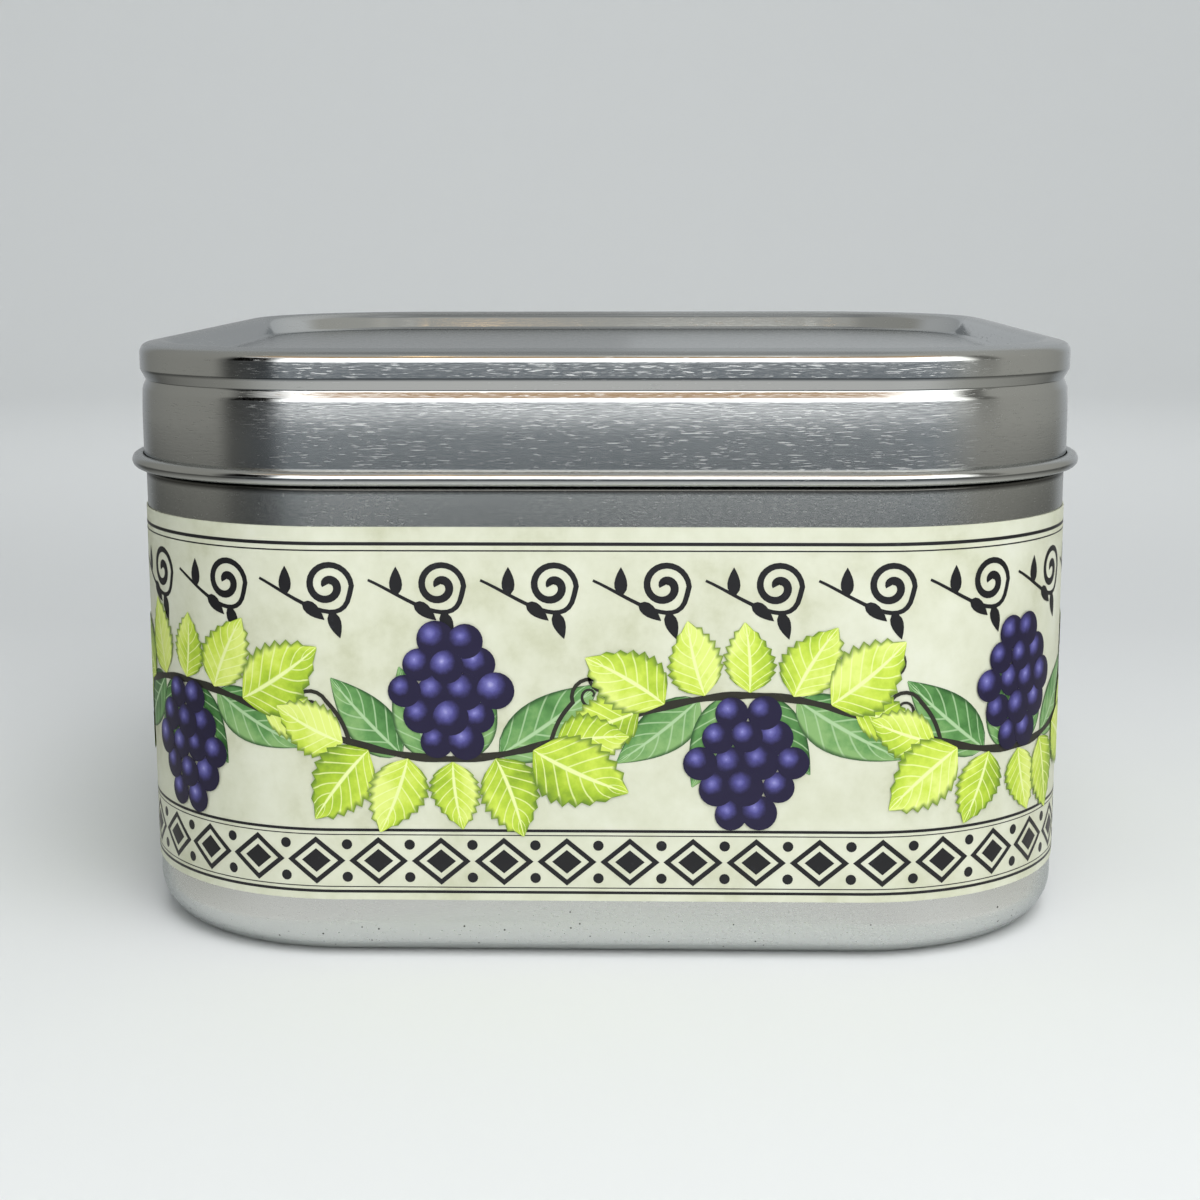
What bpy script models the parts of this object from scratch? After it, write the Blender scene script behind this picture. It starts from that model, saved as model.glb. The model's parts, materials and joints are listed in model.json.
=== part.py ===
"""Square slip-lid tin with round corners: a drawn tinplate body, a drawn lid and a paper wrap label.

Metres, +Z up. The origin is the centre of the footprint, on the surface that the tin stands on.
The front faces -Y. Every outline is a square whose corners turn about the same four centres, so a
piece is given by its profile: how far each of its points lies from the centre plane, and how high.
"""
from math import ceil, copysign, cos, radians, sin, tan

import bmesh
import bpy
from mathutils import Matrix, Vector

MM = 0.001

# Driving dimensions of the tin
BODY_WIDTH = 101.0 * MM
CORNER_RADIUS = 23.5 * MM
SHEET = 0.25 * MM
HEIGHT = 63.5 * MM

# Body: base, wall, neck and rolled rim
BASE_EDGE_RADIUS = 3.5 * MM
FOOT_WIDTH = 5.0 * MM
BASE_RECESS = 0.6 * MM
NECK_STEP = 0.85 * MM
NECK_BOTTOM = 49.4 * MM
NECK_RISE = 1.0 * MM
RIM_ROLL_RADIUS = 0.6 * MM
RIM_DROP = 0.75 * MM

# Lid: recessed panel, crowned rim, bead groove, skirt and rolled edge
PANEL_RECESS = 2.7 * MM
PANEL_HALF = 46.5 * MM
CREST_INSET = 2.8 * MM
CROWN_FALL = 0.62 * MM
CROWN_ROUNDED_OFF = 0.15 * MM
SHOULDER_STAND = 0.3 * MM
SKIRT_STAND = 0.2 * MM
GROOVE_HEIGHT = 59.25 * MM
GROOVE_DEPTH = 0.6 * MM
GROOVE_TOP_RISE = 1.1 * MM
GROOVE_FOOT_DROP = 0.9 * MM
SKIRT_BOTTOM = 49.8 * MM
CURL_RADIUS = 0.775 * MM

# Paper label
LABEL_BOTTOM = 6.5 * MM
LABEL_TOP = 45.6 * MM
LABEL_SHEET = 0.1 * MM
LABEL_CLEARANCE = 0.05 * MM
LABEL_LAP = 8.0 * MM
LABEL_RAMP = 2.0 * MM
LABEL_RAMP_START = 0.5 * MM

# How finely the curves are cut
CORNER_STEPS = 10
ARC_STEP_DEG = 30.0
SMOOTH_ANGLE = radians(40)

BODY_HALF = BODY_WIDTH / 2
CORNER_CENTRE = BODY_HALF - CORNER_RADIUS


def clear_scene():
    """Removes every object that the file opened with."""
    for thing in list(bpy.data.objects):
        bpy.data.objects.remove(thing, do_unlink=True)


def material(name, color, roughness, metallic):
    """One Principled material."""
    made = bpy.data.materials.new(name)
    made.use_nodes = True
    shader = made.node_tree.nodes["Principled BSDF"]
    shader.inputs["Base Color"].default_value = (*color, 1.0)
    shader.inputs["Roughness"].default_value = roughness
    shader.inputs["Metallic"].default_value = metallic
    return made


def arc(centre, radius, start_deg, end_deg):
    """Points on an arc of a profile, both ends included."""
    steps = max(2, ceil(abs(end_deg - start_deg) / ARC_STEP_DEG))
    turn = radians(end_deg - start_deg) / steps
    angles = [radians(start_deg) + turn * step for step in range(steps + 1)]
    return [(centre[0] + radius * cos(a), centre[1] + radius * sin(a)) for a in angles]


def rounded(corners):
    """A profile line from corner points (half width, height, radius), each corner rounded to its radius."""
    line = []
    for place, (half, height, radius) in enumerate(corners):
        here = Vector((half, height))
        if radius == 0.0:
            line.append(tuple(here))
            continue
        back = (Vector(corners[place - 1][:2]) - here).normalized()
        ahead = (Vector(corners[place + 1][:2]) - here).normalized()
        wedge = back.angle(ahead) / 2
        centre = here + (back + ahead).normalized() * radius / sin(wedge)
        start = here + back * radius / tan(wedge) - centre
        end = here + ahead * radius / tan(wedge) - centre
        turn = -start.angle_signed(end)
        steps = max(2, ceil(abs(turn) / radians(ARC_STEP_DEG)))
        for step in range(steps + 1):
            spoke = Matrix.Rotation(turn * step / steps, 2) @ start
            line.append(tuple(centre + spoke))
    return line


def outline(half, height):
    """Points of a level outline: a square of that half width with its corners about the fixed centres."""
    points = []
    for corner in range(4):
        centre = Matrix.Rotation(radians(90 * corner), 2) @ Vector((CORNER_CENTRE, CORNER_CENTRE))
        for step in range(CORNER_STEPS + 1):
            angle = radians(90 * corner + 90 * step / CORNER_STEPS)
            spot = centre + (half - CORNER_CENTRE) * Vector((cos(angle), sin(angle)))
            points.append(Vector((spot.x, spot.y, height)))
    return points


def slide_to(vert, half, height):
    """Moves a point of one outline to the same spot of another."""
    centre = Vector((copysign(CORNER_CENTRE, vert.co.x), copysign(CORNER_CENTRE, vert.co.y)))
    spoke = (vert.co.xy - centre).normalized()
    spot = centre + (half - CORNER_CENTRE) * spoke
    vert.co = (spot.x, spot.y, height)


def pulled(mesh, edges):
    """Extrudes a loop of edges and gives the new loop's edges and points."""
    made = bmesh.ops.extrude_edge_only(mesh, edges=edges)["geom"]
    verts = {item for item in made if isinstance(item, bmesh.types.BMVert)}
    loop = [item for item in made if isinstance(item, bmesh.types.BMEdge) and verts.issuperset(item.verts)]
    return loop, verts


def finish(name, mesh, thickness, outwards, finish_material):
    """Makes the surface an object with the thickness of its sheet."""
    data = bpy.data.meshes.new(name)
    mesh.to_mesh(data)
    mesh.free()
    data.materials.append(finish_material)
    data.shade_smooth()
    data.set_sharp_from_angle(angle=SMOOTH_ANGLE)
    made = bpy.data.objects.new(name, data)
    bpy.context.collection.objects.link(made)
    wall = made.modifiers.new("Sheet", "SOLIDIFY")
    wall.thickness = thickness
    wall.offset = 1.0 if outwards else -1.0
    wall.use_even_offset = True
    wall.use_quality_normals = True
    return made


def drawn_sheet(name, profile, opens_up, finish_material):
    """A sheet drawn from a flat panel out to its raw edge, following the profile all round."""
    mesh = bmesh.new()
    panel = mesh.faces.new([mesh.verts.new(point) for point in outline(*profile[0])])
    loop = list(panel.edges)
    for half, height in profile[1:]:
        loop, verts = pulled(mesh, loop)
        for vert in verts:
            slide_to(vert, half, height)
    if opens_up:
        bmesh.ops.reverse_faces(mesh, faces=list(mesh.faces))
    return finish(name, mesh, SHEET, False, finish_material)


def body_profile():
    """The body's outer line, from the recessed base out, up the wall and neck, and round the rolled rim."""
    foot_half = BODY_HALF - BASE_EDGE_RADIUS
    panel_half = foot_half - FOOT_WIDTH
    neck_half = BODY_HALF - NECK_STEP
    roll_centre = (neck_half - RIM_ROLL_RADIUS, HEIGHT - RIM_DROP - RIM_ROLL_RADIUS)
    line = rounded([
        (panel_half - BASE_RECESS * 2, BASE_RECESS, 0.0),
        (panel_half - BASE_RECESS, BASE_RECESS, 0.5 * MM),
        (panel_half, 0.0, 0.5 * MM),
        (foot_half, 0.0, 0.0),
    ])
    line += arc((foot_half, BASE_EDGE_RADIUS), BASE_EDGE_RADIUS, -90, 0)[1:]
    line += rounded([
        (BODY_HALF, BASE_EDGE_RADIUS, 0.0),
        (BODY_HALF, NECK_BOTTOM, 0.4 * MM),
        (neck_half, NECK_BOTTOM + NECK_RISE, 0.4 * MM),
        (neck_half, roll_centre[1], 0.0),
    ])[1:-1]
    line += arc(roll_centre, RIM_ROLL_RADIUS, 0, 295)
    return line


def lid_profile():
    """The lid's outer line: from the recessed panel over the rim, down the skirt and round the curl."""
    shoulder_half = BODY_HALF + SHOULDER_STAND
    skirt_half = BODY_HALF + SKIRT_STAND
    groove_half = shoulder_half - GROOVE_DEPTH
    crest_half = shoulder_half - CREST_INSET
    panel_height = HEIGHT - PANEL_RECESS
    crown_height = HEIGHT + CROWN_ROUNDED_OFF
    hollow_radius = CURL_RADIUS - SHEET
    curl_centre = (skirt_half + hollow_radius, SKIRT_BOTTOM + CURL_RADIUS)
    line = rounded([
        (PANEL_HALF - 1.0 * MM, panel_height, 0.0),
        (PANEL_HALF, panel_height, 0.7 * MM),
        (crest_half - 0.3 * MM, crown_height, 1.0 * MM),
        (shoulder_half, crown_height - CROWN_FALL, 0.95 * MM),
        (shoulder_half, GROOVE_HEIGHT + GROOVE_TOP_RISE, 0.9 * MM),
        (groove_half, GROOVE_HEIGHT, 0.3 * MM),
        (skirt_half, GROOVE_HEIGHT - GROOVE_FOOT_DROP, 1.1 * MM),
        (skirt_half, curl_centre[1], 0.0),
    ])[:-1]
    line += arc(curl_centre, hollow_radius, 180, 482)
    return line


def label_path():
    """The label's inner face seen from above: from its first end, at the back, round to its lap."""
    half = BODY_HALF + LABEL_CLEARANCE
    lapped = half + LABEL_SHEET + LABEL_CLEARANCE
    ring = [point.xy for point in outline(half, 0.0)]
    back_left = CORNER_STEPS + 1
    path = [Vector((LABEL_LAP / 2, half))]
    path += ring[back_left:] + ring[:back_left]
    ramp_end = LABEL_LAP / 2 + LABEL_RAMP_START
    path += [Vector((ramp_end + LABEL_RAMP, half)), Vector((ramp_end, lapped))]
    path += [Vector((-LABEL_LAP / 2, lapped))]
    return path


def paper_label(finish_material):
    """A strip of paper round the wall whose end laps its start at the back."""
    mesh = bmesh.new()
    points = [mesh.verts.new((spot.x, spot.y, LABEL_BOTTOM)) for spot in label_path()]
    edges = [mesh.edges.new(pair) for pair in zip(points, points[1:])]
    _, verts = pulled(mesh, edges)
    bmesh.ops.translate(mesh, verts=list(verts), vec=(0.0, 0.0, LABEL_TOP - LABEL_BOTTOM))
    front = min(mesh.faces, key=lambda face: face.calc_center_median().y)
    if front.normal.y > 0:
        bmesh.ops.reverse_faces(mesh, faces=list(mesh.faces))
    return finish("label", mesh, LABEL_SHEET, True, finish_material)


def main():
    """Builds the tin closed, standing on the surface."""
    clear_scene()
    tinplate = material("tinplate", (0.60, 0.61, 0.60), 0.30, 1.0)
    paper = material("label_paper", (0.80, 0.80, 0.67), 0.55, 0.0)
    drawn_sheet("tin_body", body_profile(), True, tinplate)
    drawn_sheet("lid", lid_profile(), False, tinplate)
    paper_label(paper)


main()
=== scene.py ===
# %% [markdown]
# # A square tinplate tin with a slip lid and a paper label
# The real tin is two pieces of thin steel sheet coated with tin. One is drawn into a square tub with
# round corners. The other is drawn into a lid with a sunk panel, a rounded rim, a groove and a rolled
# edge. A strip of printed paper is glued round the tub. The imported model gives the sizes and the
# places, and this script gives each piece its fine shape and its finish.
#
# The frame is loaded first, because every piece below rides on it.

# %% Load the frame
import json
import random
from math import ceil, cos, hypot, pi, radians, sin, tan

import bpy
from mathutils import Matrix, Vector
from mathutils.geometry import interpolate_bezier

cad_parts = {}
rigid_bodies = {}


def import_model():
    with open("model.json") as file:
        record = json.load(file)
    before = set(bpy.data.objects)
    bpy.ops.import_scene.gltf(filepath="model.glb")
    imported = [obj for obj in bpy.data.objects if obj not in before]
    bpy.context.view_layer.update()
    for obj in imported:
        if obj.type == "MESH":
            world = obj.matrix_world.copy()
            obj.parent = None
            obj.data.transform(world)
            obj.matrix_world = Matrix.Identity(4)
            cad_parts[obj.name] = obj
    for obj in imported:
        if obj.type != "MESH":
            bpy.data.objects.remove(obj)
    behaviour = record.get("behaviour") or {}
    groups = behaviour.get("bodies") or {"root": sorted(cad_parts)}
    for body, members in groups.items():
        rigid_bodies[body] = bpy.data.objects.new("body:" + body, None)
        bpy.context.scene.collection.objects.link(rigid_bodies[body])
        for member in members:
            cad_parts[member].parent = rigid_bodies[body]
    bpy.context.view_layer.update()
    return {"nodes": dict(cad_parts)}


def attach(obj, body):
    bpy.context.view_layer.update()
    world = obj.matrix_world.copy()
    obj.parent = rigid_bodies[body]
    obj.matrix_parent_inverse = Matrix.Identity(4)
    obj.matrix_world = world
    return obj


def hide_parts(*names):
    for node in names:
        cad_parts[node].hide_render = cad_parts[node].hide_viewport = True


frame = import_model()
print("frame nodes:", sorted(frame["nodes"]))

# %% [markdown]
# ## The line that a sheet follows
# A drawn tin has the same cross-section all the way round, so it is easiest to think of it as one
# line: how far each point lies from the middle of the tin, and how high. Straight stretches are cheap.
# The bends are where the light plays, so they are cut into many short steps here.

# %% Profile helpers
MM = 0.001
ARC_STEP_DEG = 9.0


def arc(centre, radius, start_deg, end_deg):
    """Points on an arc of a profile, both ends included."""
    steps = max(2, ceil(abs(end_deg - start_deg) / ARC_STEP_DEG))
    turn = radians(end_deg - start_deg) / steps
    angles = [radians(start_deg) + turn * step for step in range(steps + 1)]
    return [(centre[0] + radius * cos(a), centre[1] + radius * sin(a)) for a in angles]


def rounded(corners):
    """A profile from corner points (half width, height, radius), each corner rounded to its radius."""
    line = []
    for place, (half, height, radius) in enumerate(corners):
        here = Vector((half, height))
        if radius == 0.0:
            line.append(tuple(here))
            continue
        back = (Vector(corners[place - 1][:2]) - here).normalized()
        ahead = (Vector(corners[place + 1][:2]) - here).normalized()
        wedge = back.angle(ahead) / 2
        centre = here + (back + ahead).normalized() * radius / sin(wedge)
        start = here + back * radius / tan(wedge) - centre
        end = here + ahead * radius / tan(wedge) - centre
        turn = -start.angle_signed(end)
        steps = max(2, ceil(abs(turn) / radians(ARC_STEP_DEG)))
        for step in range(steps + 1):
            spoke = Matrix.Rotation(turn * step / steps, 2) @ start
            line.append(tuple(centre + spoke))
    return line


# %% [markdown]
# ## Drawing a section round the tin
# By hand this is a short job. One point is pulled along the profile. The line is pulled sideways to
# the corner, spun a quarter turn about the corner's centre, and pulled on to the middle of the side.
# That quarter is mirrored twice. It is the same order in which a press tool shapes the sheet: flats
# first, then corners that all turn about the same four centres.

# %% Trace a line and draw it round
CORNER_CENTRE = 27.0 * MM
CORNER_STEPS = 24
MERGE = 0.002 * MM


def edit():
    """Into edit mode, on the active piece."""
    bpy.ops.object.mode_set(mode="EDIT")


def leave():
    """Back to object mode."""
    bpy.ops.object.mode_set(mode="OBJECT")


def select_all():
    """Selects everything inside the piece."""
    bpy.ops.mesh.select_all(action="SELECT")


def select_none():
    """Selects nothing inside the piece."""
    bpy.ops.mesh.select_all(action="DESELECT")


def choose(kind):
    """From now on points, edges or faces are selected, and none of them is yet."""
    edit()
    bpy.ops.mesh.select_mode(type=kind)
    select_none()
    leave()


def weld(gap):
    """Merges the points that lie closer than the gap, and leaves edit mode."""
    select_all()
    bpy.ops.mesh.remove_doubles(threshold=gap)
    leave()


def deselect():
    """Nothing is selected any more, neither objects nor what is inside them."""
    if bpy.context.mode != "OBJECT":
        leave()
    bpy.ops.object.select_all(action="DESELECT")


def pull_on(move):
    """Pulls what is selected straight on by a move."""
    bpy.ops.mesh.extrude_region_move(TRANSFORM_OT_translate={"value": move})


def trace(name, points):
    """A new piece in edit mode: one point, pulled from place to place."""
    deselect()
    bpy.ops.mesh.primitive_plane_add(size=MM, location=points[0])
    piece = bpy.context.active_object
    bpy.ops.object.transform_apply(location=True, rotation=True, scale=True)
    piece.name = name
    piece.data.name = name
    edit()
    select_all()
    bpy.ops.mesh.merge(type="CENTER")
    for here, there in zip(points, points[1:]):
        pull_on(Vector(there) - Vector(here))
    return piece


def turn_on(centre_x, centre_y):
    """Spins what is selected a quarter turn about an upright line, anticlockwise seen from above."""
    centre = (centre_x, centre_y, 0.0)
    bpy.ops.mesh.spin(steps=CORNER_STEPS, angle=radians(-90), center=centre, axis=(0.0, 0.0, 1.0))


def half_width(spot):
    """How far out a point lies, measured as the profile measures it."""
    out_x = abs(spot.x) - CORNER_CENTRE
    out_y = abs(spot.y) - CORNER_CENTRE
    if out_x > 0 and out_y > 0:
        return CORNER_CENTRE + hypot(out_x, out_y)
    return max(abs(spot.x), abs(spot.y))


def apply_modifier(piece, kind, **settings):
    """Adds a modifier with its settings and applies it."""
    bpy.ops.object.modifier_add(type=kind)
    modifier = piece.modifiers[-1]
    for setting, value in settings.items():
        setattr(modifier, setting, value)
    bpy.ops.object.modifier_apply(modifier=modifier.name)


def draw_round(name, profile):
    """A quarter of the sheet, mirrored to the whole, with its first outline still open."""
    piece = trace(name, [(0.0, -half, height) for half, height in profile])
    select_all()
    pull_on((CORNER_CENTRE, 0.0, 0.0))
    turn_on(CORNER_CENTRE, -CORNER_CENTRE)
    pull_on((0.0, CORNER_CENTRE, 0.0))
    weld(MERGE)
    apply_modifier(piece, "MIRROR", use_axis=(True, True, False), merge_threshold=0.01 * MM)
    return piece


# %% [markdown]
# ## Closing the panel and giving the sheet its thickness
# The first outline of a section is the edge of a flat panel. It is filled with one face and inset
# twice, so that the flat stays flat where it meets the first bend. Then the faces are turned
# outwards, and only after that does the sheet get its real thickness, a quarter of a millimetre,
# on its inner side. Weighted normals keep the long flats truly flat, so that they mirror evenly.

# %% Fill, thicken and smooth
SHEET = 0.25 * MM
SMOOTH_ANGLE = radians(38)


def fill_panel(piece, half, height, insets):
    """Closes the outline at that half width and height, and insets the new face."""
    choose("EDGE")
    for edge in piece.data.edges:
        ends = [piece.data.vertices[index].co for index in edge.vertices]
        level = all(abs(end.z - height) < MERGE for end in ends)
        edge.select = level and all(abs(half_width(end) - half) < MERGE for end in ends)
    edit()
    bpy.ops.mesh.edge_face_add()
    bpy.ops.mesh.select_mode(type="FACE")
    for thickness in insets:
        bpy.ops.mesh.inset(thickness=thickness)
    bpy.ops.mesh.select_mode(type="VERT")
    leave()


def turn_to_viewer(front):
    """Flips all faces of the active piece if this one, at its front, looks backwards."""
    if front.normal.y > 0:
        edit()
        bpy.ops.mesh.flip_normals()
        leave()


def face_outwards(piece):
    """Turns all faces of an open shell to the side that the front wall's outside is on."""
    edit()
    select_all()
    bpy.ops.mesh.normals_make_consistent(inside=False)
    leave()
    walls = [face for face in piece.data.polygons if abs(face.normal.y) > 0.99]
    turn_to_viewer(max(walls, key=lambda face: face.area * (face.center.y < 0)))


def thicken(piece, thickness, side):
    """Gives an outward-facing shell its thickness and smooths it, flats kept flat."""
    apply_modifier(
        piece,
        "SOLIDIFY",
        thickness=thickness,
        offset=side,
        use_even_offset=True,
        use_quality_normals=True,
    )
    bpy.ops.object.shade_smooth_by_angle(angle=SMOOTH_ANGLE)
    apply_modifier(piece, "WEIGHTED_NORMAL", keep_sharp=True, weight=60)


# %% [markdown]
# ## The body
# The tub's base is pushed up a little inside its standing ring, so that it doesn't rock. The wall
# comes up from a rounded edge, steps in to a neck that the lid slips over, and ends in a rim rolled
# inwards, which hides the raw edge of the sheet. Under the lid nobody sees the neck, but it is what
# the lid is guided by, so it is drawn as it is.

# %% Draw the body
BODY_HALF = 50.5 * MM
TRIM = 0.012 * MM  # the solids' coarse bends fall this short of the true curve
HEIGHT = 63.5 * MM - 2 * TRIM
BASE_EDGE_RADIUS = 4.2 * MM
FOOT_WIDTH = 5.0 * MM
BASE_RECESS = 0.6 * MM
NECK_HALF = 49.65 * MM
NECK_BOTTOM = 49.4 * MM
RIM_ROLL_RADIUS = 0.6 * MM
RIM_DROP = 0.75 * MM

foot_half = BODY_HALF - BASE_EDGE_RADIUS
base_half = foot_half - FOOT_WIDTH
roll_centre = (NECK_HALF - RIM_ROLL_RADIUS, HEIGHT - RIM_DROP - RIM_ROLL_RADIUS)

body_profile = rounded([
    (base_half - BASE_RECESS * 2, BASE_RECESS, 0.0),
    (base_half - BASE_RECESS, BASE_RECESS, 0.5 * MM),
    (base_half, 0.0, 0.5 * MM),
    (foot_half, 0.0, 0.0),
])
body_profile += arc((foot_half, BASE_EDGE_RADIUS), BASE_EDGE_RADIUS, -90, 0)[1:]
body_profile += rounded([
    (BODY_HALF, BASE_EDGE_RADIUS, 0.0),
    (BODY_HALF, NECK_BOTTOM, 0.4 * MM),
    (NECK_HALF, NECK_BOTTOM + 1.0 * MM, 0.4 * MM),
    (NECK_HALF, roll_centre[1], 0.0),
])[1:-1]
body_profile += arc(roll_centre, RIM_ROLL_RADIUS, 0, 295)

tin_body = draw_round("fine_tin_body", body_profile)
fill_panel(tin_body, *body_profile[0], insets=(4.0 * MM, 14.0 * MM))
face_outwards(tin_body)
thicken(tin_body, SHEET, -1.0)
print("body:", len(body_profile), "profile points,", len(tin_body.data.polygons), "faces")

# %% [markdown]
# ## The lid
# The lid is read from the middle outwards: a sunk panel, up over a crowned rim that leans outwards
# and rounds off, in to a shallow groove, down the skirt, and out into a curl. The curl is an open
# roll with a hollow inside, about one and a half millimetres thick. It catches a thin bright line
# from every side and drops a dark one under it.

# %% Draw the lid
SHOULDER_HALF = 50.8 * MM
SKIRT_HALF = 50.7 * MM
GROOVE_HALF = 50.2 * MM
CREST_HALF = 48.0 * MM
PANEL_HALF = 46.5 * MM
PANEL_HEIGHT = 60.95 * MM
CROWN_HEIGHT = HEIGHT + 0.15 * MM
GROOVE_HEIGHT = 59.25 * MM
SKIRT_BARREL = 0.10 * MM
SKIRT_BARREL_FOOT = 55.6 * MM
SKIRT_BOTTOM = 49.8 * MM
CURL_RADIUS = 0.775 * MM - TRIM / 2

hollow_radius = CURL_RADIUS - SHEET
curl_centre = (SKIRT_HALF + hollow_radius, SKIRT_BOTTOM + CURL_RADIUS)

lid_profile = rounded([
    (PANEL_HALF - 1.0 * MM, PANEL_HEIGHT, 0.0),
    (PANEL_HALF, PANEL_HEIGHT, 0.7 * MM),
    (CREST_HALF - 0.3 * MM, CROWN_HEIGHT, 1.5 * MM),
    (SHOULDER_HALF, CROWN_HEIGHT - 0.62 * MM, 1.1 * MM),
    (SHOULDER_HALF, GROOVE_HEIGHT + 1.1 * MM, 0.9 * MM),
    (GROOVE_HALF, GROOVE_HEIGHT, 0.3 * MM),
    (SKIRT_HALF - SKIRT_BARREL, GROOVE_HEIGHT - 0.9 * MM, 1.1 * MM),
    (SKIRT_HALF, SKIRT_BARREL_FOOT, 55.0 * MM),
    (SKIRT_HALF, curl_centre[1], 0.0),
])[:-1]
lid_profile += arc(curl_centre, hollow_radius, 180, 482)

lid = draw_round("fine_lid", lid_profile)
fill_panel(lid, *lid_profile[0], insets=(4.0 * MM, 14.0 * MM))
face_outwards(lid)
thicken(lid, SHEET, -1.0)
print("lid:", len(lid_profile), "profile points,", len(lid.data.polygons), "faces")

# %% [markdown]
# ## The paper label
# The label is one strip of paper glued round the wall, its end lapping its start at the back. It is
# made as it is glued on: its short upright edge starts at the back, is pulled along a side, turned
# about a corner, and so on all round, until it climbs the two thicknesses and lies on its own start.

# %% Wrap the label
LABEL_BOTTOM = 6.5 * MM
LABEL_TOP = 45.6 * MM
LABEL_SHEET = 0.1 * MM
LABEL_CLEARANCE = 0.05 * MM
LABEL_LAP = 8.0 * MM
LABEL_RAMP = 2.0 * MM
LABEL_RAMP_START = 0.5 * MM

label_half = BODY_HALF + LABEL_CLEARANCE
label_face = label_half + LABEL_SHEET
side = 2 * CORNER_CENTRE
lap_start = LABEL_LAP / 2
ramp_top = lap_start + LABEL_RAMP_START

label = trace("fine_label", [(lap_start, label_half, LABEL_BOTTOM), (lap_start, label_half, LABEL_TOP)])
select_all()
for move, right, back in (
    ((-CORNER_CENTRE - lap_start, 0.0, 0.0), -1, 1),
    ((0.0, -side, 0.0), -1, -1),
    ((side, 0.0, 0.0), 1, -1),
    ((0.0, side, 0.0), 1, 1),
):
    pull_on(move)
    turn_on(right * CORNER_CENTRE, back * CORNER_CENTRE)
pull_on((ramp_top + LABEL_RAMP - CORNER_CENTRE, 0.0, 0.0))
pull_on((-LABEL_RAMP, LABEL_SHEET + LABEL_CLEARANCE, 0.0))
pull_on((-LABEL_LAP - LABEL_RAMP_START, 0.0, 0.0))
weld(MERGE)
face_outwards(label)
thicken(label, LABEL_SHEET, 1.0)
print("label:", len(label.data.polygons), "faces,", round((LABEL_TOP - LABEL_BOTTOM) / MM, 1), "mm tall")

# %% [markdown]
# ## Printing on the label
# The label carries a plain running pattern: a leafy vine with berries between a scroll border and a
# band of lozenges. A picture file could hold it, but a drawn pattern stays crisp from close by. So
# each ink is a film of its own, a few thousandths of a millimetre thick, cut to shape.
#
# It is drawn flat first, as a printer would: X is the way round the tin from the middle of the
# front, Z is the height, and each ink lies a little nearer to the viewer than the one under it. Then
# the whole sheet is bent round the corners at once. A film can only bend where it has points, so no
# motif has cells wider than about a millimetre.

# %% Lay the flat drawing round the tin
FILM = 0.005 * MM
FILM_STEP = 0.012 * MM
LABEL_TURN = label_face - CORNER_CENTRE
QUARTER = side + LABEL_TURN * pi / 2
PERIMETER = 4 * QUARTER
LAP_HEIGHT = LABEL_SHEET + LABEL_CLEARANCE


def lap_lift(spot_x):
    """How far the print is lifted at the back, where the label lies on its own start."""
    rise = min(1.0, max(0.0, (ramp_top + LABEL_RAMP + 0.4 * MM - spot_x) / LABEL_RAMP))
    drop = min(1.0, max(0.0, (spot_x + lap_start + 1.6 * MM) / (0.8 * MM)))
    return LAP_HEIGHT * min(rise, drop)


def wrapped(spot):
    """Where a point of the flat drawing lands: X runs round the tin, and -Y is how far out it lies."""
    run = spot.x + CORNER_CENTRE
    corner, along = divmod(run, QUARTER)
    straight = min(along, side) - CORNER_CENTRE
    angle = max(0.0, along - side) / LABEL_TURN
    out = -spot.y
    if corner % 4 == 2 and along < side:
        out += lap_lift(-straight)
    reach = LABEL_TURN + out
    here = Vector((straight + reach * sin(angle), -CORNER_CENTRE - reach * cos(angle), spot.z))
    return Matrix.Rotation(corner * pi / 2, 3, "Z") @ here


def bend_round(piece):
    """Bends a flat drawing round the tin, closes it at the back and gives the ink its thickness."""
    deselect()
    bpy.context.view_layer.objects.active = piece
    piece.select_set(True)
    for vert in piece.data.vertices:
        vert.co = wrapped(vert.co)
    edit()
    weld(0.001 * MM)
    apply_modifier(piece, "SOLIDIFY", thickness=FILM, offset=1.0)
    print(piece.name + ":", len(piece.data.polygons), "faces")


print("label perimeter:", round(PERIMETER / MM, 2), "mm")

# %% [markdown]
# ## Motifs
# Each motif is modelled once and copied. A leaf is a grid whose rows are drawn in or out to the
# leaf's width, and whose edge points are pulled towards the tip for teeth. A berry is a disc, inset
# ring by ring. A stem or scroll is two traced lines bridged to a ribbon. Every motif carries an
# attribute called place: where a point lies across and along the motif, from -1 to 1, and a number
# that differs from copy to copy. The inks read it for veins, shading and small changes of colour.

# %% Mark the places on a motif, and start a grid


def mark_place(piece, half_wide, half_tall):
    """Writes down where each point lies on its motif."""
    place = piece.data.attributes.new("place", "FLOAT_VECTOR", "POINT")
    for item, vert in zip(place.data, piece.data.vertices):
        item.vector = (vert.co.x / half_wide, vert.co.z / half_tall, 0.0)


def flat_grid(name, wide, tall, columns, rows):
    """An upright grid that faces the viewer, centred on the origin."""
    deselect()
    bpy.ops.mesh.primitive_grid_add(x_subdivisions=columns, y_subdivisions=rows, size=1.0)
    piece = bpy.context.active_object
    piece.name = name
    edit()
    bpy.ops.transform.resize(value=(wide, tall, 1.0))
    leave()
    piece.rotation_euler = (radians(90), 0.0, 0.0)
    bpy.ops.object.transform_apply(location=True, rotation=True, scale=True)
    mark_place(piece, wide / 2, tall / 2)
    return piece


# %% Shape a leaf


def shape_row(piece, chosen, width_share, move, middle):
    """Draws the chosen points in or out across the leaf, and moves them on."""
    for index, vert in enumerate(piece.data.vertices):
        vert.select = index in chosen
    edit()
    bpy.ops.transform.resize(value=(width_share, 1.0, 1.0), center_override=(0.0, 0.0, middle))
    bpy.ops.transform.translate(value=move)
    select_none()
    leave()


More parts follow.
